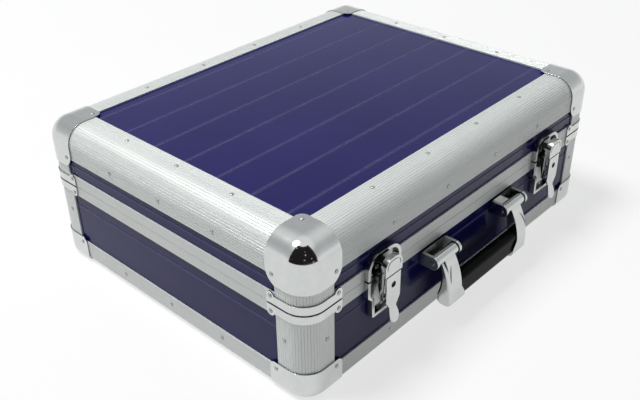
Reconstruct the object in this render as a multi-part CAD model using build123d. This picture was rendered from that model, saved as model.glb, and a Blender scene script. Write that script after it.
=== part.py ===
"""Small aluminium-framed flight case: ribbed panels, extruded edges, latches, hinges and a carrying handle.

Millimetres. +X runs to the right along the front, -Y points out of the front face, +Z is up.
The case stands on its feet at Z = 0, and X = Y = 0 is the middle of everything that sticks out.
"""

import os
from math import cos, pi, sin

from build123d import *

# Shell
case_width = 450.0
case_depth = 352.0
base_height = 88.9
lid_height = 63.2
corner_radius = 20.5
panel_thickness = 5.0
skin = 1.5
inner_skin = 1.2
web = 1.2
split_gap = 0.2

# Edge, corner and closure extrusions
lid_leg = 34.0
base_leg = 21.6
base_edge_radius = 5.0
base_slot = 9.2
column_leg = 33.4
closure_height = 11.2
lip_overlap = 9.0
rib_pitch = 2.6
rib_size = 0.5
tongue_height = 2.5
tongue_thickness = 1.6
tongue_inset = 5.2
tongue_clearance = 0.4

# Panel grooves
groove_pitch = 42.5
groove_phase = 1.9
groove_width = 1.6
base_groove_drop = 23.4
lid_groove_rise = 22.4

# Corner caps and closure corner brackets
cap_thickness = 1.2
cap_reach = 42.0
cap_skirt = 43.0
cap_ear = 27.0
cap_tip_radius = 7.0
cap_curl = 1.5
cap_lobe_in = 3.2
cap_lobe_drop = 10.5
base_cap_height = 26.5
bracket_band = 8.7
bracket_gap = 0.9
bracket_reach = 42.1
bracket_ear_radius = 4.3
bracket_ear_rise = 7.8

# Rivets
rivet_radius = 2.1
rivet_height = 0.8
cap_rivet_inset = 35.0
lid_flange_rivet = 24.5
front_rivet_pitch = 77.1
side_rivet_pitch = 71.0
cap_side_rivet = 32.5
base_cap_rivet = 20.0
base_side_rivet = 12.4
base_flange_rivet = 13.6
column_rivet_inset = 24.7
column_rivet_drop = 33.0
catch_rivet_x = 7.0
catch_rivet_rise = 7.4
latch_rivet_drop = 35.0
hinge_rivet_pitch = 18.0
hinge_rivet_drop = 19.0

# Feet and lining
foot_height = 3.0
foot_radius = 9.0
foot_inset = 58.0
foot_chamfer = 0.8
pad_clearance = 0.3
floor_pad_thickness = 12.0
wall_pad_thickness = 12.0
lid_pad_thickness = 16.0
pad_opening_radius = 4.0

# Hinges
hinge_inset = 92.0
hinge_axis_out = 4.0
hinge_barrel_radius = 3.2
hinge_pin_radius = 1.6
hinge_running = 0.05
hinge_knuckle = 11.0
hinge_knuckles = 5
hinge_gap = 0.2
hinge_leaf = 26.0
leaf_thickness = 1.5
leaf_corner = 4.0
leaf_root = 0.6

# Latches
latch_inset = 92.0
latch_half_width = 21.7
latch_floor = 1.5
latch_rim = 5.0
latch_rim_width = 3.2
latch_seat = 0.5
catch_height = 23.0
catch_corner = 14.0
lip_height = 9.5
lip_rise = 4.5
lip_half_width = 4.5
latch_step = 17.0
latch_step_drop = 5.0
latch_foot_half = 16.5
latch_foot_taper = 0.8
latch_length = 41.0
ear_radius = 3.2
ear_gap = 0.4
lever_half_width = 9.3
lever_wall = 1.2
lever_front = 14.5
lever_plate = 1.5
lever_top = 5.0
lever_body = 21.0
lever_taper = 8.0
lever_waist_half = 4.4
lever_tab_half = 5.8
lever_tab_bulge = 8.0
lever_tab_radius = 5.5
lever_waist_radius = 3.0
lever_end = 46.5
lever_bend = 33.0
lever_flare = 4.0
lever_window_top = 5.5
lever_window_bottom = 15.5
lever_window_depth = 2.6
lever_boss = 3.6
lever_pivot_out = 6.8
lever_pivot_z = 3.0
latch_pin_radius = 1.4
latch_running = 0.05
claw_pin_drop = 16.0
claw_pin_out = 10.2
claw_pin_edge = 2.8
claw_gap = 1.2
claw_top = 20.0
claw_corner = 9.0
claw_arm = 1.3
claw_arm_half_depth = 1.6
claw_groove_inset = 2.2
claw_groove_width = 0.9
claw_groove_depth = 0.4
claw_side_gap = 0.5
claw_depth = 5.5
finger_half_width = 3.5
finger_thickness = 1.4
finger_bottom = 10.0
striker_gap = 0.4
keyhole_radius = 3.0
keyhole_drop = 8.3
plug_recess = 0.8
plug_barrel = 4.1
plug_flange = 1.2
plug_cam_length = 12.0
plug_cam_width = 3.4
keyway_length = 4.4
keyway_width = 1.3

# Handle
handle_offset_x = 57.0
handle_axis_out = 13.0
bracket_drop = 2.2
bracket_half_width = 18.5
bracket_cheek = 3.0
bracket_nose = 6.5
bracket_plate = 2.5
knuckle_radius = 5.5
knuckle_side_gap = 1.0
handle_pin_radius = 2.0
handle_pin_head = 0.8
handle_running = 0.05
arm_length = 50.0
arm_half_width = 9.0
arm_front = 29.0
arm_back = 13.0
arm_bow_front = 26.5
arm_bow_back = 15.8
arm_bow_rise = 31.0
arm_belly = 11.0
arm_flare = 6.0
arm_flare_low = 8.0
arm_flare_high = 18.0
arm_toe_radius = 6.0
arm_side_radius = 3.5
crescent_top = (-1.0, -6.5)
crescent_bottom = (-6.5, -22.5)
crescent_outer = (-5.6, -13.9)
crescent_inner = (-4.2, -14.3)
crescent_depth = 0.8
grip_height = 25.0
grip_depth = 12.6
grip_corner = 5.5
grip_socket = 3.0
grip_recess = 1.7

# Values that follow
half_x = case_width / 2
half_y = case_depth / 2
z_bottom = foot_height
z_split = z_bottom + base_height
z_top = z_split + lid_height
slot_back = skin + panel_thickness
liner_face = slot_back + inner_skin
panel_end = corner_radius
seam_web = tongue_height + 1.7
latch_offset_x = half_x - latch_inset
hinge_offset_x = half_x - hinge_inset
handle_axis_height = base_height - closure_height - bracket_drop - bracket_nose
arm_bottom = handle_axis_height - arm_length
grip_bottom = arm_bottom + grip_recess
grip_out = arm_front - grip_recess - grip_depth / 2
front_reach = max(arm_front, handle_axis_out + bracket_nose)
rear_reach = hinge_axis_out + hinge_barrel_radius
shift_y = (front_reach - rear_reach) / 2
claw_pin_z = lever_pivot_z + claw_pin_drop
lever_inner = lever_half_width - lever_wall
claw_inner = lever_half_width + claw_side_gap
claw_outer = claw_inner + claw_arm
claw_bottom = lever_top - lever_pivot_z + claw_gap
claw_back = lever_front - claw_depth

SIDES = {
    "front": (0, half_y, case_width),
    "right": (90, half_x, case_depth),
    "rear": (180, half_y, case_width),
    "left": (270, half_x, case_depth),
}

nodes = {}


def node(name, *shapes):
    """Keep the solids of one named piece, or of one group of like pieces."""
    solids = [Pos(0, shift_y, 0) * solid for shape in shapes for solid in shape.solids()]
    nodes[name] = solids[0] if len(solids) == 1 else Compound(children=solids)


def on_side(name, make):
    """Build a piece for the front, in the size of the named side, and turn it to that side."""
    turn, reach, length = SIDES[name]
    return Rot(0, 0, turn) * make(reach, length)


def four_sides(make):
    return [on_side(name, make) for name in SIDES]


def four_corners(shape):
    """Copies of a piece that was built for the front left corner."""
    right = mirror(shape, about=Plane.YZ)
    return [shape, right, mirror(shape, about=Plane.XZ), mirror(right, about=Plane.XZ)]


def left_and_right(shape):
    return [shape, mirror(shape, about=Plane.YZ)]


def block(x0, x1, y0, y1, z0, z1):
    size = (x1 - x0, y1 - y0, z1 - z0)
    return Pos((x0 + x1) / 2, (y0 + y1) / 2, (z0 + z1) / 2) * Box(*size)


def rect(x0, x1, y0, y1):
    return Pos((x0 + x1) / 2, (y0 + y1) / 2) * Rectangle(x1 - x0, y1 - y0)


def outline(*points):
    return make_face(Polyline(*points, close=True))


def along_x(section, x0, x1):
    """Extrude a section, drawn with Y across and Z up, from x0 to x1."""
    return Pos(x0, 0, 0) * extrude(Plane.YZ * section, amount=x1 - x0, dir=(1, 0, 0))


def along_y(section, y0, y1):
    """Extrude a section, drawn with X across and Z up, from y0 to y1."""
    plane = Plane(origin=(0, y1, 0), x_dir=(1, 0, 0), z_dir=(0, -1, 0))
    return extrude(plane * section, amount=y1 - y0, dir=(0, -1, 0))


def along_z(section, z0, z1):
    return Pos(0, 0, z0) * extrude(section, amount=z1 - z0, dir=(0, 0, 1))


# Extruded frame


def corner_region(inset, radius, reach):
    """The quadrant inside a corner, from inset to reach both ways, with its corner rounded."""
    square = rect(inset, reach, inset, reach)
    corner = square.vertices().sort_by(lambda v: v.X + v.Y)[0]
    return fillet(corner, radius)


def rib_marks(radius, leg):
    """Small squares on the outer line of a corner extrusion, which cut its fine V ribs."""
    straight = leg - radius
    arc = radius * pi / 2
    count = int((2 * straight + arc) / rib_pitch)
    first = (2 * straight + arc - (count - 1) * rib_pitch) / 2
    marks = []
    for i in range(count):
        s = first + i * rib_pitch
        if s < straight:
            x, y, turn = 0, leg - s, 0
        elif s < straight + arc:
            angle = (s - straight) / radius
            x, y = radius * (1 - cos(angle)), radius * (1 - sin(angle))
            turn = angle * 180 / pi
        else:
            x, y, turn = s - arc - straight + radius, 0, 90
        marks.append(Pos(x, y) * Rot(0, 0, 45 + turn) * Rectangle(rib_size, rib_size))
    return marks


def corner_section(radius, leg, slot_start, ribs):
    """An extrusion round a corner: a ribbed outer skin, an inner skin and two slots for panel edges."""
    section = corner_region(0, radius, leg) - corner_region(skin, radius - skin, leg + 1)
    inner_radius = max(radius - slot_back, inner_skin + 1)
    lip_reach = slot_start + lip_overlap
    inner = corner_region(slot_back, inner_radius, lip_reach)
    inner -= corner_region(liner_face, inner_radius - inner_skin, lip_reach + 1)
    section += inner
    section += rect(slot_start - web, slot_start, skin / 2, slot_back + inner_skin / 2)
    section += rect(skin / 2, slot_back + inner_skin / 2, slot_start - web, slot_start)
    if ribs:
        section -= rib_marks(radius, leg)
    return section


def mitred(reach, length, depth):
    """The plan of an edge extrusion: cut square at the corner radius, then mitred."""
    end = length / 2
    near, far = corner_radius, depth + 1
    return outline(
        (-end + near, -reach - 1), (end - near, -reach - 1), (end - near, -reach + near),
        (end - far, -reach + far), (-end + far, -reach + far), (-end + near, -reach + near),
    )


def lid_edge(reach, length):
    section = mirror(corner_section(corner_radius, lid_leg, panel_end, True), about=Plane.XZ)
    bar = along_x(Pos(-reach, z_top) * section, -length / 2, length / 2)
    return bar & along_z(mitred(reach, length, lid_leg), z_split, z_top + 1)


def base_edge(reach, length):
    section = corner_section(base_edge_radius, base_leg, base_slot, False)
    bar = along_x(Pos(-reach, z_bottom) * section, -length / 2, length / 2)
    return bar & along_z(mitred(reach, length, base_leg), z_bottom - 1, z_split)


def base_closure(reach, length):
    """Closure strip of the base, with the tongue that enters the lid's groove."""
    seam = z_split - split_gap
    section = rect(0, skin, z_split - closure_height, seam)
    section += rect(0, liner_face, z_split - seam_web, z_split - seam_web + web)
    section += rect(slot_back, liner_face, z_split - closure_height, z_split - seam_web + web)
    tongue_back = tongue_inset + tongue_thickness
    section += rect(tongue_inset, tongue_back, z_split - seam_web, z_split + tongue_height)
    end = length / 2 - column_leg
    return along_x(Pos(-reach, 0) * section, -end, end)


def lid_closure(reach, length):
    """Closure strip of the lid, with the groove over the tongue."""
    seam = z_split + split_gap
    roof = z_split + seam_web
    inner_wall = tongue_inset + tongue_thickness + tongue_clearance
    outer_wall = tongue_inset - tongue_clearance
    section = rect(0, skin, seam, z_split + closure_height)
    section += rect(0, inner_wall + web, roof, roof + web)
    section += rect(outer_wall - web, outer_wall, seam, roof + web)
    section += rect(inner_wall, inner_wall + web, seam, roof + web)
    section += rect(slot_back, liner_face, roof, z_split + closure_height)
    end = length / 2 - column_leg
    return along_x(Pos(-reach, 0) * section, -end, end)


def column(z0, z1):
    section = corner_section(corner_radius, column_leg, panel_end, True)
    return Pos(-half_x, -half_y) * along_z(section, z0, z1)


node("lid_edge_extrusions_long", on_side("front", lid_edge), on_side("rear", lid_edge))
node("lid_edge_extrusions_short", on_side("left", lid_edge), on_side("right", lid_edge))
node("base_edge_extrusions_long", on_side("front", base_edge), on_side("rear", base_edge))
node("base_edge_extrusions_short", on_side("left", base_edge), on_side("right", base_edge))
node("base_closure_strips", *four_sides(base_closure))
node("lid_closure_strips", *four_sides(lid_closure))
node("base_corner_columns", *four_corners(column(z_bottom + base_leg, z_split - split_gap)))
node("lid_corner_columns", *four_corners(column(z_split + split_gap, z_top - lid_leg)))


# Panels


def v_groove():
    return Rot(0, 0, 45) * Rectangle(groove_width / 2 ** 0.5, groove_width / 2 ** 0.5)


def top_panel():
    width, depth = case_width - 2 * panel_end, case_depth - 2 * panel_end
    z1 = z_top - skin
    section = rect(-depth / 2, depth / 2, z1 - panel_thickness, z1)
    count = int((half_y - lid_leg) / groove_pitch)
    section -= [Pos(i * groove_pitch + groove_phase, z1) * v_groove() for i in range(-count, count + 1)]
    return along_x(section, -width / 2, width / 2)


def wall_panel(z0, z1, groove_z):
    """A side panel between two corner columns, with one rib groove along it."""

    def make(reach, length):
        face = -reach + skin
        section = rect(face, face + panel_thickness, z0, z1) - Pos(face, groove_z) * v_groove()
        end = length / 2 - panel_end
        return along_x(section, -end, end)

    return make


base_panel = wall_panel(z_bottom + base_slot, z_split - seam_web, z_split - base_groove_drop)
lid_panel = wall_panel(z_split + seam_web + web, z_top - panel_end, z_split + lid_groove_rise)
for side in SIDES:
    node(f"base_{side}_panel", on_side(side, base_panel))
    node(f"lid_{side}_panel", on_side(side, lid_panel))
node("lid_top_panel", top_panel())
node("base_floor_panel", block(
    -half_x + base_slot, half_x - base_slot, -half_y + base_slot, half_y - base_slot,
    z_bottom + skin, z_bottom + slot_back,
))


# Corner caps and brackets, each built for the front left corner and measured inward from it


def edges_at(shape, point):
    corner = Vector(*point)
    return [e for e in shape.edges() if min((e @ 0 - corner).length, (e @ 1 - corner).length) < 1e-6]


def ball_block(offset):
    """Everything inside the lid's corner, with its three edges rounded into a ball."""
    size = cap_skirt + 10
    cube = block(-offset, size, -offset, size, -size, offset)
    return fillet(edges_at(cube, (-offset, -offset, offset)), corner_radius + offset)


def ball_cap():
    shell = ball_block(cap_thickness) - ball_block(0)
    plan = rect(-2, cap_reach, -2, cap_reach)
    plan = fillet(plan.vertices().sort_by(lambda v: v.X + v.Y)[-1], cap_tip_radius)
    shell &= along_z(plan, -cap_skirt - 5, 5)
    curl = column_leg - cap_curl
    lobe = (cap_reach - cap_lobe_in, -cap_ear - cap_lobe_drop)
    skirt = make_face([
        Polyline((cap_reach, -cap_ear), (cap_reach, 5), (-5, 5), (-5, -cap_skirt), (curl, -cap_skirt)),
        ThreePointArc((curl, -cap_skirt), lobe, (cap_reach, -cap_ear)),
    ])
    shell &= along_y(skirt, -5, cap_reach + 5)
    shell &= mirror(along_y(skirt, -5, cap_reach + 5), about=Plane((0, 0, 0), z_dir=(1, -1, 0)))
    return Pos(-half_x, -half_y, z_top) * shell


def rounded_corner(offset, z0, z1):
    """A block inside the case's upright corner."""
    size = cap_reach + 12
    plan = rect(-offset, size, -offset, size)
    corner = plan.vertices().sort_by(lambda v: v.X + v.Y)[0]
    return along_z(fillet(corner, corner_radius + offset), z0, z1)


def base_block(offset):
    body = rounded_corner(offset, -offset, base_cap_height + 10)
    return fillet(body.faces().sort_by(Axis.Z)[0].edges().filter_by(
        lambda e: min(e.center().X, e.center().Y) < corner_radius), base_edge_radius + offset)


def base_cap():
    shell = base_block(cap_thickness) - base_block(0)
    plan = rect(-2, cap_reach, -2, cap_reach)
    plan = fillet(plan.vertices().sort_by(lambda v: v.X + v.Y)[-1], cap_tip_radius)
    shell &= along_z(plan, -5, base_cap_height)
    leaf = rect(-5, cap_reach, -5, base_cap_height)
    leaf = fillet(leaf.vertices().sort_by(lambda v: v.X + v.Y)[-1], cap_tip_radius - 1)
    shell &= along_y(leaf, -5, cap_reach + 5)
    shell &= mirror(along_y(leaf, -5, cap_reach + 5), about=Plane((0, 0, 0), z_dir=(1, -1, 0)))
    return Pos(-half_x, -half_y, z_bottom) * shell


def closure_bracket():
    """The lid's half of a closure corner: a band round the corner with a rounded ear at each end."""
    height = bracket_ear_rise + bracket_ear_radius + 1
    shell = rounded_corner(cap_thickness, 0, height) - rounded_corner(0, -1, height + 1)
    ear_x = bracket_reach - bracket_ear_radius
    ear = Pos(ear_x, bracket_ear_rise) * Circle(bracket_ear_radius)
    ear += rect(ear_x - bracket_ear_radius, bracket_reach, bracket_gap, bracket_ear_rise)
    side_view = rect(-5, ear_x, bracket_gap, bracket_band) + ear
    far = bracket_reach + 1
    diagonal = outline((-5, -5), (far, -5), (far, far))
    half = shell & along_y(side_view, -5, far) & along_z(diagonal, -1, height + 1)
    whole = half + mirror(half, about=Plane((0, 0, 0), z_dir=(1, -1, 0)))
    return Pos(-half_x, -half_y, z_split) * whole


def below_split(shape):
    return mirror(shape, about=Plane((0, 0, z_split), z_dir=(0, 0, 1)))


node("lid_ball_corner_caps", *four_corners(ball_cap()))
node("base_corner_caps", *four_corners(base_cap()))
node("lid_closure_corner_brackets", *four_corners(closure_bracket()))
node("base_closure_corner_brackets", *four_corners(below_split(closure_bracket())))


# Rivets


def rivet(x, y, z, facing):
    """A low rivet head, seated at a point and facing outward."""
    head = extrude(RegularPolygon(rivet_radius, 8), amount=rivet_height, taper=35)
    return Plane(origin=(x, y, z), z_dir=facing) * head


def side_rivets(positions, z, out=0.0):
    """Heads on an upright face, at positions along it."""

    def make(reach, length):
        return [rivet(x, -reach - out, z, (0, -1, 0)) for x in positions(length)]

    heads = []
    for turn, reach, length in SIDES.values():
        heads += [Rot(0, 0, turn) * head for head in make(reach, length)]
    return heads


def run_positions(length):
    """Rivets along an edge: four on a long side, three on a short one."""
    if length == case_width:
        return [front_rivet_pitch * i for i in (-1.5, -0.5, 0.5, 1.5)]
    return [side_rivet_pitch * i for i in (-1, 0, 1)]


def flat_rivets(inset, z, facing):
    heads = []
    for turn, reach, length in SIDES.values():
        heads += [Rot(0, 0, turn) * rivet(x, -reach + inset, z, facing) for x in run_positions(length)]
    return heads


def corner_pair(inset):
    return lambda length: [-length / 2 + inset, length / 2 - inset]


def latch_rivets(x, z, out):
    """Heads on the floor of each latch plate, at plus and minus x from its middle."""
    spots = {side * latch_offset_x + dx for side in (-1, 1) for dx in (-x, x)}
    return [rivet(spot, -half_y - out, z, (0, -1, 0)) for spot in sorted(spots)]


def hinge_rivets(z):
    """Heads on one row of hinge leaves at the rear."""
    spots = [side * hinge_offset_x + i * hinge_rivet_pitch for side in (-1, 1) for i in (-1, 0, 1)]
    return [Rot(0, 0, 180) * rivet(x, -half_y, z, (0, -1, 0)) for x in spots]


up, down = (0, 0, 1), (0, 0, -1)
cap_x, cap_y = -half_x + cap_rivet_inset, -half_y + cap_rivet_inset
bracket_rivet = corner_pair(bracket_reach - bracket_ear_radius)
node(
    "lid_rivets",
    *flat_rivets(lid_flange_rivet, z_top, up),
    *side_rivets(run_positions, z_top - lid_flange_rivet),
    *side_rivets(corner_pair(cap_rivet_inset), z_top - cap_side_rivet, cap_thickness),
    *side_rivets(bracket_rivet, z_split + bracket_ear_rise, cap_thickness),
    *four_corners(rivet(cap_x, cap_y, z_top + cap_thickness, up)),
    *latch_rivets(catch_rivet_x, z_split + catch_rivet_rise, latch_floor),
    *hinge_rivets(z_split + hinge_rivet_drop),
)
node(
    "base_rivets",
    *flat_rivets(base_flange_rivet, z_bottom, down),
    *side_rivets(run_positions, z_bottom + base_side_rivet),
    *side_rivets(corner_pair(cap_rivet_inset), z_bottom + base_cap_rivet, cap_thickness),
    *side_rivets(bracket_rivet, z_split - bracket_ear_rise, cap_thickness),
    *side_rivets(corner_pair(column_rivet_inset), z_split - column_rivet_drop),
    *four_corners(rivet(cap_x, cap_y, z_bottom - cap_thickness, down)),
    *latch_rivets(0, z_split - latch_rivet_drop, latch_floor),
    *hinge_rivets(z_split - hinge_rivet_drop),
)


# Feet and foam lining

foot_x, foot_y = half_x - foot_inset, half_y - foot_inset
foot = Pos(-foot_x, -foot_y, 0) * extrude(Circle(foot_radius), amount=z_bottom + skin)
foot = chamfer(foot.faces().sort_by(Axis.Z)[0].edges(), foot_chamfer)
node("rubber_feet", *four_corners(foot))

liner_inset = liner_face + pad_clearance
liner_radius = corner_radius - liner_inset + 1


def liner_plan(width, depth, inset, radius):
    return RectangleRounded(width - 2 * inset, depth - 2 * inset, radius)


floor_pad_z = z_bottom + liner_inset
floor_pad_top = floor_pad_z + floor_pad_thickness
wall_pad_top = z_split - seam_web - pad_clearance
case_liner = liner_plan(case_width, case_depth, liner_inset, liner_radius)


def wall_pad(reach, length):
    ring = liner_plan(length, 2 * reach, liner_inset, liner_radius)
    ring -= liner_plan(length, 2 * reach, liner_inset + wall_pad_thickness, pad_opening_radius)
    far = liner_inset + 2 * wall_pad_thickness
    end = length / 2 - pad_clearance
    wedge = outline((-end, -reach), (end, -reach), (end - far, -reach + far), (-end + far, -reach + far))
    return along_z(ring & wedge, floor_pad_top + pad_clearance, wall_pad_top)


node("base_floor_pad", along_z(case_liner, floor_pad_z, floor_pad_top))
node("base_wall_pads", *four_sides(wall_pad))
lid_pad_z1 = z_top - liner_inset
lid_pad = along_z(case_liner, lid_pad_z1 - lid_pad_thickness, lid_pad_z1)
node("lid_pad", fillet(lid_pad.faces().sort_by(Axis.Z)[-1].edges(), liner_radius - 0.5))


# Hinges, drawn as if on the front: out is the distance in front of the shell's face


def knuckle_spans(first):
    """Every other knuckle of a hinge, as pairs of X limits, with a gap between neighbours."""
    half = hinge_knuckle * hinge_knuckles / 2
    starts = [-half + i * hinge_knuckle for i in range(first, hinge_knuckles, 2)]
    return [(x + hinge_gap / 2, x + hinge_knuckle - hinge_gap / 2) for x in starts]


def hinge_leaf_shape(first):
    """A leaf below the split, joggled from the closure strip onto the recessed panel."""
    half = hinge_knuckle * hinge_knuckles / 2
    barrel = Circle(hinge_barrel_radius) - Circle(hinge_pin_radius + hinge_running)
    shoulder = hinge_barrel_radius - leaf_thickness
    tail = rect(-hinge_axis_out, 0, -hinge_barrel_radius, -shoulder) - Circle(shoulder)
    top = -hinge_barrel_radius + leaf_root
    step = -closure_height
    plate = outline(
        (hinge_axis_out, top), (hinge_axis_out, step), (hinge_axis_out + skin, step),
        (hinge_axis_out + skin, -hinge_leaf), (hinge_axis_out + skin - leaf_thickness, -hinge_leaf),
        (hinge_axis_out + skin - leaf_thickness, step - leaf_thickness),
        (hinge_axis_out - leaf_thickness, step), (hinge_axis_out - leaf_thickness, top),
    )
    knuckle = barrel + mirror(tail, about=Plane.YZ)
    leaf = along_x(plate, -half + hinge_gap / 2, half - hinge_gap / 2)
    leaf = fillet(leaf.edges().filter_by(Axis.Y).group_by(Axis.Z)[0], leaf_corner)
    for x0, x1 in knuckle_spans(first):
        leaf += along_x(knuckle, x0, x1)
    return leaf


def at_hinges(shape):
    rear = Rot(0, 0, 180) * Pos(0, -half_y - hinge_axis_out, z_split) * shape
    return left_and_right(Pos(-hinge_offset_x, 0, 0) * rear)


half_hinge = hinge_knuckle * hinge_knuckles / 2
hinge_pin = along_x(Circle(hinge_pin_radius), -half_hinge + hinge_gap / 2, half_hinge - hinge_gap / 2)
lid_leaf = mirror(hinge_leaf_shape(1), about=Plane.XY)
node("hinge_base_leaves", *at_hinges(hinge_leaf_shape(0)))
node("hinge_lid_leaves", *at_hinges(lid_leaf))
node("hinge_pins", *at_hinges(hinge_pin))


# Latches. X is measured from the latch's middle, out from the shell's face, and up from the split


def out_plate(section, out0, out1):
    """Extrude a front view between two distances in front of the shell."""
    return along_y(section, -out1, -out0)


def at_latch(shape, side):
    return Pos(side * latch_offset_x, -half_y, z_split) * shape


def rimmed_plate(view, mouth, seat):
    """A dish: a floor with a raised rim, open at the mouth, and a back that fills the recess behind it."""
    inside = offset(view, -latch_rim_width) + mouth
    plate = out_plate(view, 0, latch_rim) - out_plate(inside, latch_floor, latch_rim + 1)
    return plate + out_plate(view & seat, -skin, latch_seat)


def latch_base():
    """Base plate: a rimmed dish with a stepped foot and two ears for the lever's pin."""
    foot_top = -latch_step - latch_step_drop
    foot_half = latch_foot_half - latch_foot_taper
    view = outline(
        (-latch_half_width, -bracket_gap), (latch_half_width, -bracket_gap),
        (latch_half_width, -latch_step), (latch_foot_half, foot_top), (foot_half, -latch_length),
        (-foot_half, -latch_length), (-latch_foot_half, foot_top), (-latch_half_width, -latch_step),
    )
    view = fillet(view.vertices().filter_by(lambda v: v.Y < -latch_step + 1), 2)
    inner_half = latch_half_width - latch_rim_width
    mouth = rect(-inner_half, inner_half, -latch_step, 0)
    seat = rect(-latch_half_width, latch_half_width, -latch_length, -closure_height)
    plate = rimmed_plate(view, mouth, seat)
    pivot = Pos(-lever_pivot_out, -lever_pivot_z)
    ear = pivot * Circle(ear_radius)
    ear += rect(-lever_pivot_out, -latch_floor / 2, -lever_pivot_z - ear_radius, -bracket_gap)
    ear -= pivot * Circle(latch_pin_radius)
    ear_in = lever_inner - ear_gap
    for x in (-ear_in, ear_in - web):
        plate += along_x(ear, x, x + web)
    return plate


def bore_x(radius, out, z, half):
    """A pin or hole across the latch."""
    return along_x(Pos(-out, z) * Circle(radius), -half, half)


def catch_plate():
    """Lid plate: an arched, rimmed dish with the lip that the claw pulls on."""
    view = rect(-latch_half_width, latch_half_width, bracket_gap, catch_height)
    view = fillet(view.vertices().sort_by(Axis.Y)[-2:], catch_corner)
    inner_half = latch_half_width - latch_rim_width
    mouth = rect(-inner_half, inner_half, 0, catch_height / 3)
    seat = rect(-latch_half_width, latch_half_width, closure_height, catch_height)
    lip_out = -claw_back + striker_gap
    lip_top = lip_height + lip_rise
    lip = outline(
        (-latch_floor / 2, lip_height), (lip_out, lip_height), (lip_out, lip_top),
        (lip_out + latch_floor, lip_top), (lip_out + latch_floor, lip_height + latch_floor),
        (-latch_floor / 2, lip_height + latch_floor),
    )
    return rimmed_plate(view, mouth, seat) + along_x(lip, -lip_half_width, lip_half_width)


def lever():
    """Channel lever: a front plate narrowing to a flared thumb tab, and two bored walls."""
    top = lever_top - lever_pivot_z
    narrow = -lever_pivot_z - lever_body
    waist = narrow - lever_taper
    bulge = -lever_end + lever_tab_bulge
    front = outline(
        (-lever_half_width, top), (lever_half_width, top), (lever_half_width, narrow),
        (lever_waist_half, waist), (lever_tab_half, bulge), (lever_tab_half, -lever_end),
        (-lever_tab_half, -lever_end), (-lever_tab_half, bulge), (-lever_waist_half, waist),
        (-lever_half_width, narrow),
    )
    front = fillet(front.vertices().sort_by(Axis.Y)[:2], lever_tab_radius)
    front = fillet(front.vertices().filter_by(lambda v: waist - 1 < v.Y < narrow + 1), lever_waist_radius)
    front -= Pos(0, -keyhole_drop) * Circle(keyhole_radius)
    back = -lever_front + lever_plate
    strip = outline(
        (back, top), (-lever_front, top), (-lever_front, -lever_bend),
        (-lever_front - lever_flare, -lever_end), (back - lever_flare, -lever_end), (back, -lever_bend),
    )
    body = out_plate(front, 0, lever_front + lever_flare + 1)
    body &= along_x(strip, -lever_half_width, lever_half_width)
    middle = -lever_front + lever_plate / 2
    foot = -claw_pin_z - claw_pin_edge
    wall = outline(
        (middle, top), (-lever_pivot_out, top), (-lever_pivot_out + claw_pin_edge, -lever_pivot_z),
        (-claw_pin_out + claw_pin_edge, foot), (-claw_pin_out - 1, foot - 1), (middle, narrow),
    )
    wall += Pos(-lever_pivot_out, -lever_pivot_z) * Circle(lever_boss)
    wall -= rect(back - 0.1, back + lever_window_depth, -lever_window_bottom, -lever_window_top)
    for x in (-lever_half_width, lever_inner):
        body += along_x(wall, x, x + lever_wall)
    body -= bore_x(latch_pin_radius + latch_running, lever_pivot_out, -lever_pivot_z, claw_outer)
    body -= bore_x(latch_pin_radius, claw_pin_out, -claw_pin_z, claw_outer)
    return body


def claw():
    """Draw claw: a rounded cover over the catch, its hook finger and two arms beside the lever."""
    front = rect(-claw_outer, claw_outer, claw_bottom, claw_top)
    front = fillet(front.vertices().sort_by(Axis.Y)[-2:], claw_corner)
    hollow = offset(front, -claw_arm) + rect(-claw_inner, claw_inner, claw_bottom - 1, claw_top / 2)
    cover = out_plate(front, claw_back, lever_front)
    cover -= out_plate(hollow, claw_back - 1, lever_front - lever_plate)
    finger = rect(-finger_half_width, finger_half_width, finger_bottom, claw_top - claw_arm / 2)
    cover += out_plate(finger, claw_back, claw_back + finger_thickness)
    pin = Pos(-claw_pin_out, -claw_pin_z)
    arm_out = -claw_back - claw_arm_half_depth
    half = claw_arm_half_depth
    arm = outline(
        (arm_out - half, claw_top / 2), (arm_out + half, claw_top / 2),
        (-claw_pin_out + half, -claw_pin_z), (-claw_pin_out - half, -claw_pin_z),
    )
    arm += pin * Circle(claw_pin_edge)
    arm -= pin * Circle(latch_pin_radius + latch_running)
    for x in (-claw_outer, claw_inner):
        cover += along_x(arm, x, x + claw_arm)
    ring = offset(front, -claw_groove_inset) - offset(front, -claw_groove_inset - claw_groove_width)
    arch = ring & rect(-claw_outer, claw_outer, claw_top / 2, claw_top)
    return cover - out_plate(arch, lever_front - claw_groove_depth, lever_front + 1)


def lock_plug():
    """Barrel in the keyhole, with a keyway, a retaining flange and a cam inside the lever."""
    radius = keyhole_radius - latch_running
    face = lever_front - plug_recess
    back = lever_front - lever_plate
    root = back - (plug_barrel - lever_plate)
    keyway = SlotOverall(keyway_length, keyway_width, rotation=90)
    barrel = out_plate(Circle(radius), root, face)
    barrel += out_plate(Circle(radius + plug_flange), back - plug_flange, back - latch_running)
    barrel -= out_plate(keyway, back - plug_flange, face + 1)
    barrel += out_plate(SlotOverall(plug_cam_length, plug_cam_width), root - web, root + latch_running)
    return Pos(0, 0, -keyhole_drop) * barrel


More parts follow.
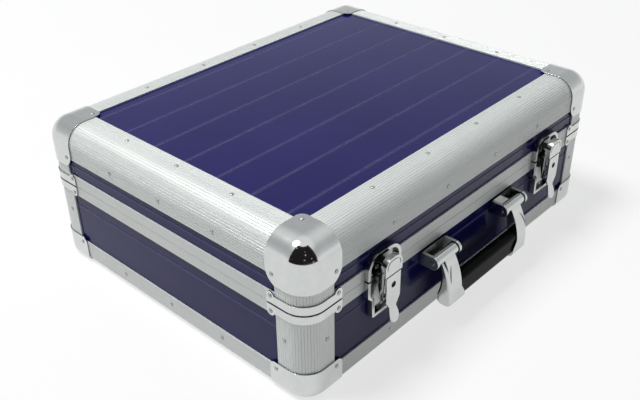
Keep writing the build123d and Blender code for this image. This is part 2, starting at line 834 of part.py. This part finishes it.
lever_pin = bore_x(latch_pin_radius, lever_pivot_out, -lever_pivot_z, lever_half_width)
claw_pin = bore_x(latch_pin_radius, claw_pin_out, -claw_pin_z, claw_outer)
for side, sign in (("left", -1), ("right", 1)):
    node(f"latch_base_{side}", at_latch(latch_base(), sign))
    node(f"catch_plate_{side}", at_latch(catch_plate(), sign))
    node(f"latch_lever_{side}", at_latch(lever(), sign))
    node(f"latch_claw_{side}", at_latch(claw(), sign))
    node(f"lock_plug_{side}", at_latch(lock_plug(), sign))
    node(f"lever_pin_{side}", at_latch(lever_pin, sign))
    node(f"claw_pin_{side}", at_latch(claw_pin, sign))


# Handle. Out is again measured from the shell's face, and heights from the bottom of the shell


def handle_bracket():
    """U bracket: a plate on the panel and two round-nosed cheeks that hold the pin."""
    axis = Pos(-handle_axis_out, handle_axis_height)
    low, high = handle_axis_height - bracket_nose, handle_axis_height + bracket_nose
    cheek = rect(-handle_axis_out, skin, low, high) + axis * Circle(bracket_nose)
    cheek -= axis * Circle(handle_pin_radius)
    body = along_x(rect(skin - bracket_plate, skin, low, high), -bracket_half_width, bracket_half_width)
    for x in (-bracket_half_width, bracket_half_width - bracket_cheek):
        body += along_x(cheek, x, x + bracket_cheek)
    return body


def grip_section(clearance=0.0):
    centre_z = grip_bottom + grip_height / 2
    size = (grip_depth + 2 * clearance, grip_height + 2 * clearance)
    return Pos(-grip_out, centre_z) * RectangleRounded(*size, grip_corner)


def handle_arm():
    """Cast left arm: a knuckle round the pin and a bowed blade that widens inward to hold the grip's end."""
    half_knuckle = bracket_half_width - bracket_cheek - knuckle_side_gap
    axis = Pos(-handle_axis_out, handle_axis_height)
    belly = arm_bottom + arm_belly
    bow = arm_bottom + arm_bow_rise
    front_top = (-handle_axis_out - knuckle_radius + 0.5, handle_axis_height)
    back_top = (-handle_axis_out + 1, handle_axis_height - knuckle_radius + 1)
    side_view = make_face([
        ThreePointArc(front_top, (-arm_bow_front, bow), (-arm_front, belly)),
        Polyline((-arm_front, belly), (-arm_front, arm_bottom), (-arm_back, arm_bottom), (-arm_back, belly)),
        ThreePointArc((-arm_back, belly), (-arm_bow_back, bow), back_top),
        Line(back_top, front_top),
    ])
    side_view = fillet(side_view.vertices().sort_by(Axis.Y)[:2], arm_toe_radius)
    foot_side = arm_half_width + arm_flare
    low, high = arm_bottom + arm_flare_low, arm_bottom + arm_flare_high
    front = outline(
        (-arm_half_width, handle_axis_height + 5), (-arm_half_width, arm_bottom), (foot_side, arm_bottom),
        (foot_side, low), (arm_half_width, high), (arm_half_width, handle_axis_height + 5),
    )
    front = fillet(front.vertices().filter_by(lambda v: v.X > 0 and low - 1 < v.Y < high + 1), arm_flare / 2)
    reach = arm_front + 1
    leg = along_y(front, -reach, 0) & along_x(side_view, -arm_half_width, foot_side)
    leg = fillet(leg.faces().sort_by(Axis.X)[0].edges(), arm_side_radius)
    points = [(x, handle_axis_height + rise) for x, rise in
              (crescent_bottom, crescent_outer, crescent_top, crescent_inner)]
    crescent = make_face([
        ThreePointArc(points[0], points[1], points[2]),
        ThreePointArc(points[2], points[3], points[0]),
    ])
    skin_band = side_view - Pos(crescent_depth, 0) * side_view
    leg -= along_y(crescent, -reach, 0) & along_x(skin_band, -arm_half_width, arm_half_width)
    arm = leg + along_x(axis * Circle(knuckle_radius), -half_knuckle, half_knuckle)
    bore = axis * Circle(handle_pin_radius + handle_running)
    return arm - along_x(bore, -half_knuckle - 1, half_knuckle + 1)


def at_handle(shape, side):
    return Pos(side * handle_offset_x, -half_y, z_bottom) * shape


grip_half = handle_offset_x - arm_half_width + grip_socket
grip = Pos(0, -half_y, z_bottom) * along_x(grip_section(), -grip_half, grip_half)
pin_half = bracket_half_width + handle_pin_head
handle_pin = along_x(
    Pos(-handle_axis_out, handle_axis_height) * Circle(handle_pin_radius), -pin_half, pin_half)
left_arm = handle_arm()
for side, sign, arm in (("left", -1, left_arm), ("right", 1, mirror(left_arm, about=Plane.YZ))):
    node(f"handle_bracket_{side}", at_handle(handle_bracket(), sign))
    node(f"handle_arm_{side}", at_handle(arm, sign) - grip)
    node(f"handle_pin_{side}", at_handle(handle_pin, sign))
node("handle_grip", grip)


os.makedirs("parts", exist_ok=True)
for name, shape in nodes.items():
    shape.label = name
    export_step(shape, f"parts/{name}.step")
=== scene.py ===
"""Looks for the flight case: finishes, rivet heads, foam lining, floor, lamp and camera.

Metres, in the frame's own axes: +X to the right along the latch side, -Y out of it, +Z up.
"""

import math

import bmesh
import bpy
from mathutils import Matrix, Vector


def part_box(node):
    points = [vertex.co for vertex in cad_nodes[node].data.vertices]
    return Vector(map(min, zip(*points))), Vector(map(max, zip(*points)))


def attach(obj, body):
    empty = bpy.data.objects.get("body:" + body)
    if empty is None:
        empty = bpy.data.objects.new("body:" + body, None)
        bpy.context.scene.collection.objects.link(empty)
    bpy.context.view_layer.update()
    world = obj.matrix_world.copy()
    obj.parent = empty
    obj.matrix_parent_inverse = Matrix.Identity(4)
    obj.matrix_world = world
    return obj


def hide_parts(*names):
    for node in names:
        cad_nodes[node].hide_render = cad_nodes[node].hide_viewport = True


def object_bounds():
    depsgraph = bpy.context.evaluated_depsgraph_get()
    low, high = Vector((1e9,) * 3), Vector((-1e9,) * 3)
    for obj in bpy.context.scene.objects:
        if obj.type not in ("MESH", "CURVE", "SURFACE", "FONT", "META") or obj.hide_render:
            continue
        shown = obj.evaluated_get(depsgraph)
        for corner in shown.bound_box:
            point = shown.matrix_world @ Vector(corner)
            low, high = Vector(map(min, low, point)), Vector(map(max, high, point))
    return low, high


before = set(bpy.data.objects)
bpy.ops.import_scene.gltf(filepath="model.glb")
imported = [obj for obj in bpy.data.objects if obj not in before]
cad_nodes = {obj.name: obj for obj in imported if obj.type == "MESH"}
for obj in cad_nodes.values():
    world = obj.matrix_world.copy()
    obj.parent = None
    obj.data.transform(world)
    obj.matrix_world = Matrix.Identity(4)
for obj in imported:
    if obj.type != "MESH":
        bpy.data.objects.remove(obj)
cad_low, cad_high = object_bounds()
middle = (cad_low + cad_high) / 2


# Small helpers for node trees. Those that return something return an output of a node.

# Most of a noise lies between these values
noise_low, noise_high = 0.3, 0.7

# Sockets of a Mix node that mixes colours
mix_factor, mix_first, mix_second, mix_result = 0, 6, 7, 2


def set_values(node, values):
    """Sets inputs of a node that nothing is linked to."""
    for socket, value in values.items():
        node.inputs[socket].default_value = value


def add_node(tree, kind, values=None, **settings):
    """A new node of a kind, with its settings and the values of its inputs."""
    node = tree.nodes.new("ShaderNode" + kind)
    for name, value in settings.items():
        setattr(node, name, value)
    set_values(node, values or {})
    return node


def link(tree, source, target, entry):
    """Joins an output to one of a node's inputs."""
    tree.links.new(source, target.inputs[entry])


def place(tree, scale=(1, 1, 1)):
    """Rest coordinates of the surface, stretched."""
    stretch = add_node(tree, "Mapping", {"Scale": scale})
    link(tree, add_node(tree, "TexCoord").outputs["Object"], stretch, "Vector")
    return stretch.outputs["Vector"]


def noise(tree, scale, detail, roughness=0.5, stretch=(1, 1, 1)):
    """A seamless noise over the surface, from 0 to 1."""
    made = add_node(tree, "TexNoise", {"Scale": scale, "Detail": detail, "Roughness": roughness})
    link(tree, place(tree, stretch), made, "Vector")
    return made.outputs["Fac"]


def cells(tree, scale):
    """The distance to the middle of the nearest cell."""
    made = add_node(tree, "TexVoronoi", {"Scale": scale})
    link(tree, place(tree), made, "Vector")
    return made.outputs["Distance"]


def ramp(tree, source, low, high, start=noise_low, end=noise_high):
    """A colour that goes from low to high as the source goes from start to end."""
    made = add_node(tree, "ValToRGB")
    first, last = made.color_ramp.elements
    first.position, last.position = start, end
    first.color, last.color = (*low, 1), (*high, 1)
    link(tree, source, made, "Fac")
    return made.outputs["Color"]


def remap(tree, source, start, end, low, high):
    """A number that goes from low to high as the source goes from start to end."""
    values = {"From Min": start, "From Max": end, "To Min": low, "To Max": high}
    made = add_node(tree, "MapRange", values)
    link(tree, source, made, "Value")
    return made.outputs["Result"]


def larger(tree, first, second):
    """The larger of two numbers."""
    made = add_node(tree, "Math", operation="MAXIMUM")
    link(tree, first, made, 0)
    link(tree, second, made, 1)
    return made.outputs[0]


def mixed(tree, kind, first, second, factor=None):
    """Two colours mixed: fully, or by a number from 0 to 1."""
    made = add_node(tree, "Mix", {mix_factor: 1.0}, data_type="RGBA", blend_type=kind)
    link(tree, first, made, mix_first)
    link(tree, second, made, mix_second)
    if factor is not None:
        link(tree, factor, made, mix_factor)
    return made.outputs[mix_result]


def edges(tree, radius):
    """Normals rounded over sharp edges, as plating and dies leave them."""
    return add_node(tree, "Bevel", {"Radius": radius}, samples=4).outputs["Normal"]


def openness(tree, reach):
    """From 0 deep in a recess to 1 where nothing stands within the reach."""
    return add_node(tree, "AmbientOcclusion", {"Distance": reach}, samples=6).outputs["AO"]


def bump(tree, source, shader, distance, strength=1.0, below=None):
    """Raises the shader's surface by the source, over its own normals or those given."""
    made = add_node(tree, "Bump", {"Strength": strength, "Distance": distance})
    link(tree, source, made, "Height")
    if below is not None:
        link(tree, below, made, "Normal")
    link(tree, made.outputs["Normal"], shader, "Normal")


# Materials


def new_material(name):
    """A material with its node tree and its Principled shader."""
    made = bpy.data.materials.new(name)
    made.use_nodes = True
    return made, made.node_tree, made.node_tree.nodes["Principled BSDF"]


def rough_between(tree, shader, source, low, high):
    """Makes the shader's roughness follow a noise."""
    link(tree, remap(tree, source, noise_low, noise_high, low, high), shader, "Roughness")


def aluminium(name, run, shade=1.0):
    """Anodised extrusion: drawn streaks along its run, a faint mottle and a soft metal gloss.

    The run is the number of an axis, and a shade over 1 paints the metal paler, as painted light.
    """
    made, tree, shader = new_material(name)
    along_run, across_run = 0.7, 70
    stretch = [along_run if axis == run else across_run for axis in range(3)]
    streaks = noise(tree, 9, 4, 0.6, stretch)
    mottle = noise(tree, 24, 4, 0.6)
    darker, paler = (0.71, 0.735, 0.715), (0.78, 0.80, 0.78)
    tint = ramp(tree, streaks, [shade * c for c in darker], [shade * c for c in paler])
    clouds = ramp(tree, mottle, (0.95, 0.96, 0.96), (1.0, 1.0, 1.0))
    link(tree, mixed(tree, "MULTIPLY", tint, clouds), shader, "Base Color")
    rough_between(tree, shader, streaks, 0.40, 0.50)
    set_values(shader, {"Metallic": 0.3})
    bump(tree, streaks, shader, 0.00005, 0.5)
    return made


def chrome(name, colour, roughness, dents, reach=0.004, rounding=0.0003):
    """Bright plating with a faint haze, the slight waves of pressed sheet and painted shade in
    recesses.

    The dents are as deep as the waves, and recesses narrower than the reach get painted shade.
    """
    made, tree, shader = new_material(name)
    haze = noise(tree, 90, 5, 0.6)
    waves = noise(tree, 14, 2)
    tint = ramp(tree, haze, [0.92 * c for c in colour], colour)
    # Painted shade: the colour turns dark where the surface is closed in, in recesses and between
    # parts
    painted_recess_shade = ramp(tree, openness(tree, reach), (0.04, 0.04, 0.04), (1.0, 1.0, 1.0), 0.25, 0.85)
    link(tree, mixed(tree, "MULTIPLY", tint, painted_recess_shade), shader, "Base Color")
    rough_between(tree, shader, haze, roughness, roughness + 0.06)
    set_values(shader, {"Metallic": 1.0})
    bump(tree, waves, shader, dents, below=edges(tree, rounding))
    return made


def slanted(tree, normal):
    """One where the surface faces none of the three axes, as in the panels' grooves, else nothing."""
    parts = add_node(tree, "SeparateXYZ")
    link(tree, normal, parts, "Vector")
    sizes = []
    for axis in "XYZ":
        size = add_node(tree, "Math", operation="ABSOLUTE")
        link(tree, parts.outputs[axis], size, 0)
        sizes.append(size.outputs[0])
    most = larger(tree, larger(tree, sizes[0], sizes[1]), sizes[2])
    square_on, askew = 0.97, 0.85
    return remap(tree, most, square_on, askew, 0, 1)


def groove_lips(tree, normal, reach):
    """How far the surface near a groove leans to the light.

    It is more than nothing on one lip of the groove and less on the other.
    """
    leaning = add_node(
        tree, "VectorTransform", vector_type="NORMAL", convert_from="WORLD", convert_to="OBJECT")
    away = add_node(tree, "VectorMath", operation="SUBTRACT")
    to_the_light = (0, -0.6, 0.8)
    made = add_node(tree, "VectorMath", {1: to_the_light}, operation="DOT_PRODUCT")
    link(tree, edges(tree, reach), leaning, "Vector")
    link(tree, leaning.outputs["Vector"], away, 0)
    link(tree, normal, away, 1)
    link(tree, away.outputs["Vector"], made, 0)
    return made.outputs["Value"]


def laminate(name):
    """Glossy purple blue laminate over ply, with a faintly clouded colour.

    Each groove has its walls and one lip painted paler as painted light, and the other lip painted
    darker as painted shade. The gloss fades where other pieces stand close, as painted shade.
    """
    made, tree, shader = new_material(name)
    clouds = noise(tree, 9, 3)
    ripple = noise(tree, 26, 2)
    scuffs = noise(tree, 160, 6, 0.7)
    normal = add_node(tree, "TexCoord").outputs["Normal"]
    lips = groove_lips(tree, normal, 0.004)
    full_lean = 0.06
    tint = ramp(tree, clouds, (0.010, 0.008, 0.100), (0.014, 0.011, 0.120))
    # Painted light on the groove walls and the lip that leans to the light, painted shade on the
    # other lip
    painted_groove_light = ramp(tree, scuffs, (0.09, 0.09, 0.235), (0.125, 0.125, 0.30))
    deep = ramp(tree, scuffs, (0.003, 0.002, 0.05), (0.004, 0.003, 0.06))
    shaded = mixed(tree, "MIX", tint, deep, remap(tree, lips, 0, -full_lean, 0, 1))
    painted_light_share = larger(tree, slanted(tree, normal), remap(tree, lips, 0, full_lean, 0, 1))
    link(tree, mixed(tree, "MIX", shaded, painted_groove_light, painted_light_share), shader, "Base Color")
    rough_between(tree, shader, scuffs, 0.08, 0.17)
    # Painted shade in the gloss: it fades where other pieces stand close to the panel
    gloss = remap(tree, openness(tree, 0.05), 0.55, 0.88, 0.0, 0.18)
    link(tree, gloss, shader, "Specular IOR Level")
    bump(tree, ripple, shader, 0.0001)
    return made


def plastic(name, low, high, roughness, grain, gloss=0.3):
    """Moulded plastic or rubber with a fine spark grain, in a colour from low to high."""
    made, tree, shader = new_material(name)
    mottle = noise(tree, 40, 4)
    grains = noise(tree, 2400, 2)
    link(tree, ramp(tree, mottle, low, high), shader, "Base Color")
    rough_between(tree, shader, mottle, roughness, roughness + 0.1)
    set_values(shader, {"Specular IOR Level": gloss})
    bump(tree, grains, shader, grain)
    return made


def foam(name):
    """Open-cell foam: fine dark cells and no gloss."""
    made, tree, shader = new_material(name)
    mottle = noise(tree, 60, 4)
    tint = ramp(tree, mottle, (0.055, 0.056, 0.060), (0.085, 0.086, 0.091))
    link(tree, tint, shader, "Base Color")
    set_values(shader, {"Roughness": 0.95, "Specular IOR Level": 0.1, "Sheen Weight": 0.25})
    bump(tree, cells(tree, 900), shader, 0.0006)
    return made


along_x = aluminium("extrusion_along_x", 0)
along_y = aluminium("extrusion_along_y", 1)
# The upright columns are a paler copy of the same metal: painted light on them
along_z = aluminium("extrusion_along_z", 2, shade=1.15)
corner_chrome = chrome("corner_chrome", (0.63, 0.65, 0.64), roughness=0.06, dents=0.0003)
hardware_chrome = chrome(
    "hardware_chrome", (0.60, 0.62, 0.61), roughness=0.12, dents=0.0002, reach=0.016)
rivet_metal = chrome(
    "rivet_metal", (0.42, 0.43, 0.43), roughness=0.38, dents=0.00005, reach=0.001)
blue_laminate = laminate("blue_laminate")
lock_metal = chrome("lock_metal", (0.06, 0.055, 0.05), roughness=0.3, dents=0.00005)
grip_plastic = plastic(
    "grip_plastic", (0.003, 0.004, 0.004), (0.006, 0.007, 0.007),
    roughness=0.16, grain=0.00001, gloss=0.04)
foot_rubber = plastic(
    "foot_rubber", (0.015, 0.015, 0.015), (0.025, 0.025, 0.025), roughness=0.6, grain=0.00004)
grey_foam = foam("grey_foam")

# Finishes by words of the nodes' names, and the last one for every other node
finishes = [
    (along_x, ["edge_extrusions_long", "closure_strips"]),
    (along_y, ["edge_extrusions_short"]),
    (along_z, ["corner_columns"]),
    (corner_chrome, ["ball_corner_caps", "base_corner_caps", "corner_brackets"]),
    (blue_laminate, ["_panel"]),
    (lock_metal, ["lock_plug"]),
    (grip_plastic, ["handle_grip"]),
    (foot_rubber, ["rubber_feet"]),
    (grey_foam, ["_pad"]),
    (rivet_metal, ["_rivets"]),
    (hardware_chrome, [""]),
]


def finish_of(name):
    """The first finish with words that are part of the node's name."""
    return next(made for made, words in finishes if any(word in name for word in words))


def dress(piece, finish):
    """Gives a piece one material."""
    piece.data.materials.clear()
    piece.data.materials.append(finish)


for name, piece in cad_nodes.items():
    dress(piece, finish_of(name))


# Objects from meshes made here


def as_object(name, made):
    """Turns a bmesh into an object of the scene."""
    mesh = bpy.data.meshes.new(name)
    made.to_mesh(mesh)
    made.free()
    piece = bpy.data.objects.new(name, mesh)
    bpy.context.scene.collection.objects.link(piece)
    return piece


def add_piece(name, made, finish, body):
    """Turns a bmesh into a smooth piece that rides on a body."""
    made.normal_update()
    piece = as_object(name, made)
    for face in piece.data.polygons:
        face.use_smooth = True
    dress(piece, finish)
    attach(piece, body)
    return piece


# Rivet heads: a domed head on each plain head of the frame


def islands(mesh):
    """The lowest and the highest corner of each loose part of a mesh, in the order of the lowest."""
    made = bmesh.new()
    made.from_mesh(mesh)
    bmesh.ops.remove_doubles(made, verts=made.verts, dist=1e-6)
    left = set(made.verts)
    found = []
    while left:
        group, edge = set(), {left.pop()}
        while edge:
            group |= edge
            edge = {e.other_vert(v) for v in edge for e in v.link_edges} - group
        left -= group
        low = Vector([min(v.co[i] for v in group) for i in range(3)])
        high = Vector([max(v.co[i] for v in group) for i in range(3)])
        found.append((low, high))
    made.free()
    return sorted(found, key=lambda ends: ends[0][:])


def dome(target, low, high, rings=5, sides=20):
    """Adds a domed rivet head with a thin rim over one plain head, facing away from the case."""
    rim, rise, narrowing = 0.25, 0.72, 0.94
    size = high - low
    axis = min(range(3), key=lambda i: size[i])
    radius, height = max(size) / 2, size[axis]
    centre = (low + high) / 2
    sign = 1 if centre[axis] > middle[axis] else -1
    out = Vector([sign if i == axis else 0 for i in range(3)])
    seat = centre - out * (height / 2)
    profile = [(radius, 0), (radius, rim * height)]
    for i in range(1, rings):
        angle = i / rings * math.pi / 2
        profile.append((
            radius * narrowing * math.cos(angle), height * (rim + rise * math.sin(angle))))
    turn = out.to_track_quat("Z", "Y").to_matrix()
    angles = [i / sides * 2 * math.pi for i in range(sides)]
    loops = []
    for r, h in profile:
        points = [seat + turn @ Vector((r * math.cos(a), r * math.sin(a), h)) for a in angles]
        loops.append([target.verts.new(p) for p in points])
    for lower, upper in zip(loops, loops[1:]):
        for i in range(sides):
            j = (i + 1) % sides
            target.faces.new((lower[i], lower[j], upper[j], upper[i]))
    top = target.verts.new(seat + out * height * (rim + rise))
    for i in range(sides):
        target.faces.new((loops[-1][i], loops[-1][(i + 1) % sides], top))
    target.faces.new(list(reversed(loops[0])))


for body in ("lid", "base"):
    heads = bmesh.new()
    for low, high in islands(cad_nodes[f"{body}_rivets"].data):
        dome(heads, low, high)
    piece = add_piece(f"{body}_rivet_heads", heads, rivet_metal, body)
    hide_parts(f"{body}_rivets")


# Foam lining: slabs with rounded edges, a crowned face and sides that pull in a little

foam_rounding = 0.005
foam_pull = 0.0012
crate_pitch = 0.028


def grid_lines(length, step):
    """Places from 0 to the length, close together where the edges are rounded."""
    turn = [foam_rounding * (1 - math.cos(i * math.pi / 8)) for i in range(4)]
    straight = length - 2 * foam_rounding
    count = max(2, round(straight / step))
    inner = [foam_rounding + straight * i / count for i in range(count + 1)]
    return turn + inner + [length - t for t in reversed(turn)]


def foam_slab(name, low, high, axis, sign, body, crown=0.002, crate=0.0, step=0.006):
    """A foam slab in a box, with its soft face towards the sign of the axis and its back flat.

    The crown is how far the face drops to its edges, and the crate is the depth of egg-crate
    hollows in it, which it has none of at 0.
    """
    across, along = [i for i in range(3) if i != axis]
    thick, wide, long = [high[i] - low[i] for i in (axis, across, along)]
    made = bmesh.new()

    def corner(u, v, height):
        """The point at u, v of the face and a height over the back."""
        point = [0.0, 0.0, 0.0]
        middle_u, middle_v = 2 * u / wide - 1, 2 * v / long - 1
        point[across] = low[across] + u - foam_pull * middle_u ** 3 * (1 - middle_v ** 2)
        point[along] = low[along] + v - foam_pull * middle_v ** 3 * (1 - middle_u ** 2)
        point[axis] = low[axis] + height if sign > 0 else high[axis] - height
        return point

    def wave(at, length):
        """From -1 in the middle of a hollow to 1 on a peak, along one side of the face."""
        return math.cos(2 * math.pi * (at - length / 2) / crate_pitch)

    def face_height(u, v):
        """The height of the soft face at u, v."""
        inside = min(u, v, wide - u, long - v)
        near = max(0.0, foam_rounding - inside)
        dip = foam_rounding - math.sqrt(foam_rounding ** 2 - near ** 2)
        arch = max((2 * u / wide - 1) ** 2, (2 * v / long - 1) ** 2)
        calm = min(1.0, inside / (2 * foam_rounding))
        hollow = 0.5 - (wave(u, wide) + wave(v, long)) / 4
        return thick - dip - crown * arch ** 2 - crate * calm * hollow

    us, vs = grid_lines(wide, step), grid_lines(long, step)
    face = [[made.verts.new(corner(u, v, face_height(u, v))) for v in vs] for u in us]
    back = [[made.verts.new(corner(u, v, 0)) for v in (0, long)] for u in (0, wide)]
    for i in range(len(us) - 1):
        for j in range(len(vs) - 1):
            made.faces.new((face[i][j], face[i + 1][j], face[i + 1][j + 1], face[i][j + 1]))
    made.faces.new((back[0][0], back[0][1], back[1][1], back[1][0]))
    made.faces.new([row[0] for row in face] + [back[1][0], back[0][0]])
    made.faces.new([row[-1] for row in reversed(face)] + [back[0][1], back[1][1]])
    made.faces.new(list(reversed(face[0])) + [back[0][0], back[0][1]])
    made.faces.new(list(face[-1]) + [back[1][1], back[1][0]])
    bmesh.ops.recalc_face_normals(made, faces=made.faces)
    piece = add_piece(name, made, grey_foam, body)
    return piece


floor_low, floor_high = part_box("base_floor_pad")
floor_foam = foam_slab("floor_foam", floor_low, floor_high, 2, 1, "base")
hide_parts("base_floor_pad")

lid_low, lid_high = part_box("lid_pad")
lid_foam = foam_slab("lid_foam", lid_low, lid_high, 2, -1, "lid", crate=0.008, step=0.0035)
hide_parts("lid_pad")

wall_low, wall_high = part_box("base_wall_pads")
wall_thickness = 0.013
gap_between_walls = 0.0003
gap_at_corners = 0.0045
for name, axis, sign in (("left", 0, 1), ("right", 0, -1), ("front", 1, 1), ("rear", 1, -1)):
    low, high = wall_low.copy(), wall_high.copy()
    shorter = wall_thickness + gap_between_walls if axis == 0 else gap_at_corners
    other = 1 - axis
    low[other] += shorter
    high[other] -= shorter
    if sign > 0:
        high[axis] = low[axis] + wall_thickness
    else:
        low[axis] = high[axis] - wall_thickness
    foam_wall = foam_slab(f"{name}_wall_foam", low, high, axis, sign, "base", crown=0.0012)
    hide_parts("base_wall_pads")


# Floor, lamp, surroundings and camera


def looked_at(tree):
    """One for a ray from the eye, from metal or through glass, else nothing."""
    path = add_node(tree, "LightPath").outputs
    direct = larger(tree, path["Is Camera Ray"], path["Is Glossy Ray"])
    return larger(tree, direct, path["Is Transmission Ray"])


def blend(tree, factor, first, second):
    """Two shaders mixed by a number from 0 to 1."""
    made = add_node(tree, "MixShader")
    link(tree, factor, made, 0)
    link(tree, first, made, 1)
    link(tree, second, made, 2)
    return made.outputs[0]


def pale_floor():
    """White paper to the eye and in metal, with the case's shadow near it, and greyer as light."""
    made, tree, shader = new_material("pale_floor")
    tint = ramp(tree, noise(tree, 3, 2), (0.97, 0.97, 0.97), (0.99, 0.99, 0.99))
    link(tree, tint, shader, "Base Color")
    set_values(shader, {"Roughness": 0.9, "Specular IOR Level": 0.0})
    glow = add_node(tree, "Emission", {"Color": (1, 1, 1, 1), "Strength": 1.0})
    distance = add_node(tree, "VectorMath", operation="LENGTH")
    link(tree, place(tree), distance, 0)
    fade = remap(tree, distance.outputs["Value"], 0.6, 2.4, 0.7, 1.0)
    paper = blend(tree, fade, shader.outputs[0], glow.outputs[0])
    grey = add_node(tree, "BsdfDiffuse", {"Color": (0.38, 0.38, 0.38, 1)})
    surface = blend(tree, looked_at(tree), grey.outputs[0], paper)
    link(tree, surface, tree.nodes["Material Output"], "Surface")
    return made


floor_size = 30.0
floor_mesh = bmesh.new()
bmesh.ops.create_grid(floor_mesh, x_segments=1, y_segments=1, size=floor_size / 2)
floor = as_object("floor", floor_mesh)
dress(floor, pale_floor())


def soft_lamp(name, place_at, target, width, watts):
    """A round lamp that faces its target."""
    lamp = bpy.data.lights.new(name, "AREA")
    lamp.shape = "DISK"
    lamp.size = width
    lamp.energy = watts
    made = bpy.data.objects.new(name, lamp)
    made.location = place_at
    made.rotation_euler = (Vector(target) - Vector(place_at)).to_track_quat("-Z", "Y").to_euler()
    bpy.context.scene.collection.objects.link(made)


soft_lamp("key", (-1.0, 1.1, 3.5), middle, width=1.4, watts=120)


def studio_world():
    """A sweep that is white up to the horizon and greyer overhead, and a plain grey as light."""
    world = bpy.data.worlds.new("studio")
    bpy.context.scene.world = world
    world.use_nodes = True
    tree = world.node_tree
    tree.nodes.clear()
    parts = add_node(tree, "SeparateXYZ")
    link(tree, add_node(tree, "TexCoord").outputs["Generated"], parts, "Vector")
    sweep = ramp(tree, parts.outputs["Z"], (1, 1, 1), (1, 1, 1), 0.06, 0.85)
    for height, shade in ((0.25, 0.72), (0.5, 0.58), (0.64, 0.62)):
        bluish = (0.98 * shade, shade, 1.03 * shade, 1)
        sweep.node.color_ramp.elements.new(height).color = bluish
    light = add_node(tree, "Background", {"Color": (0.94, 0.97, 1.0, 1), "Strength": 0.18})
    white = add_node(tree, "Background", {"Strength": 1.0})
    link(tree, sweep, white, "Color")
    surface = blend(tree, looked_at(tree), light.outputs[0], white.outputs[0])
    link(tree, surface, add_node(tree, "OutputWorld"), "Surface")


studio_world()


def windows(name):
    """A dark glow with a few small bright spots."""
    made, tree, _ = new_material(name)
    shade = ramp(tree, cells(tree, 1.6), (0.9, 0.85, 0.9), (0.02, 0.016, 0.018), 0.12, 0.2)
    glow = add_node(tree, "Emission", {"Strength": 1.0})
    link(tree, shade, glow, "Color")
    link(tree, glow.outputs[0], tree.nodes["Material Output"], "Surface")
    return made


def dark_room(name, azimuth, width, low, high, distance=2.6, steps=24):
    """A dark wall behind the camera's side, with small windows, that only metal and gloss show.

    It is part of a sphere around the case. The angles are in degrees.
    """
    wall = bmesh.new()
    rows = []
    for j in range(steps + 1):
        rise = math.radians(low + (high - low) * j / steps)
        row = []
        for i in range(steps + 1):
            turn = math.radians(azimuth + width * (i / steps - 0.5))
            flat = math.cos(rise)
            way = Vector((math.cos(turn) * flat, math.sin(turn) * flat, math.sin(rise)))
            row.append(wall.verts.new(middle + distance * way))
        rows.append(row)
    for lower, upper in zip(rows, rows[1:]):
        for i in range(steps):
            wall.faces.new((lower[i], lower[i + 1], upper[i + 1], upper[i]))
    room = as_object(name, wall)
    dress(room, windows(name))
    room.visible_camera = False
    room.visible_diffuse = False
    room.visible_shadow = False


dark_room("dark_room", azimuth=-137, width=112, low=0, high=70)

bpy.context.scene.view_settings.view_transform = "Standard"

camera_place = Vector((-0.5832, -0.5153, 0.5194))
camera_aim = Vector((0.6199, 0.5762, -0.5326))
camera_roll = Matrix.Rotation(math.radians(-0.91), 4, "Z").to_quaternion()
camera_data = bpy.data.cameras.new("camera")
camera_data.sensor_width = 36.0
camera_data.lens = 47.32
camera = bpy.data.objects.new("camera", camera_data)
camera.location = camera_place
camera.rotation_mode = "QUATERNION"
camera.rotation_quaternion = camera_aim.to_track_quat("-Z", "Y") @ camera_roll
bpy.context.scene.collection.objects.link(camera)
bpy.context.scene.camera = camera
